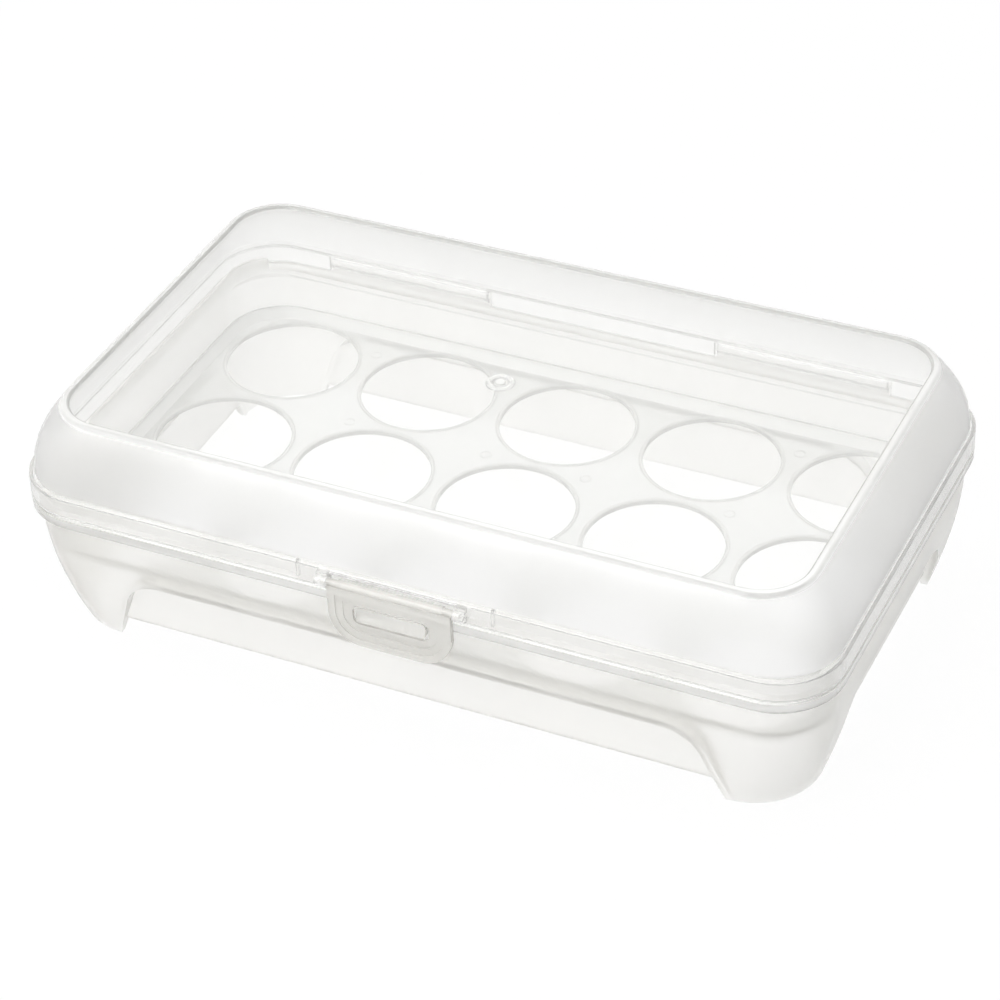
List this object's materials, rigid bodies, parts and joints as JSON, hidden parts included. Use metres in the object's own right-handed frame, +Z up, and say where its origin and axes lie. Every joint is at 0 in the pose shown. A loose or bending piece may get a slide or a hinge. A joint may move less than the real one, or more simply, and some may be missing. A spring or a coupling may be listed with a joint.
{
  "type": "egg keeper with flip lid",
  "caption": "Rectangular egg keeper on corner legs, with a holed egg tray, a domed lid hinged at the back and a snap latch at the front.",
  "frame": {"origin": "centre of the base's outline on the plane its legs stand on", "axes": "+X along the length, -Y towards the latch and the front, +Y towards the hinges, +Z up"},
  "size_m": [0.2438, 0.1488, 0.0712],
  "materials": {
    "frosted_body": "natural translucent polypropylene, fine satin texture",
    "clear_lid": "clarified translucent polypropylene, smooth"
  },
  "bodies": {
    "base": {"base": "frosted_body", "egg_tray": "frosted_body"},
    "lid": {"lid": "clear_lid"},
    "latch": {"latch": "frosted_body"}
  },
  "joints": [
    {"name": "lid_hinge", "type": "hinge", "parent": "base", "child": "lid", "pos_m": [0, 0.07236, 0.0464], "axis": [-1, 0, 0], "range_deg": [0, 110]},
    {"name": "latch_hinge", "type": "hinge", "parent": "lid", "child": "latch", "pos_m": [0, -0.0725, 0.0468], "axis": [-1, 0, 0], "range_deg": [0, 100]}
  ]
}
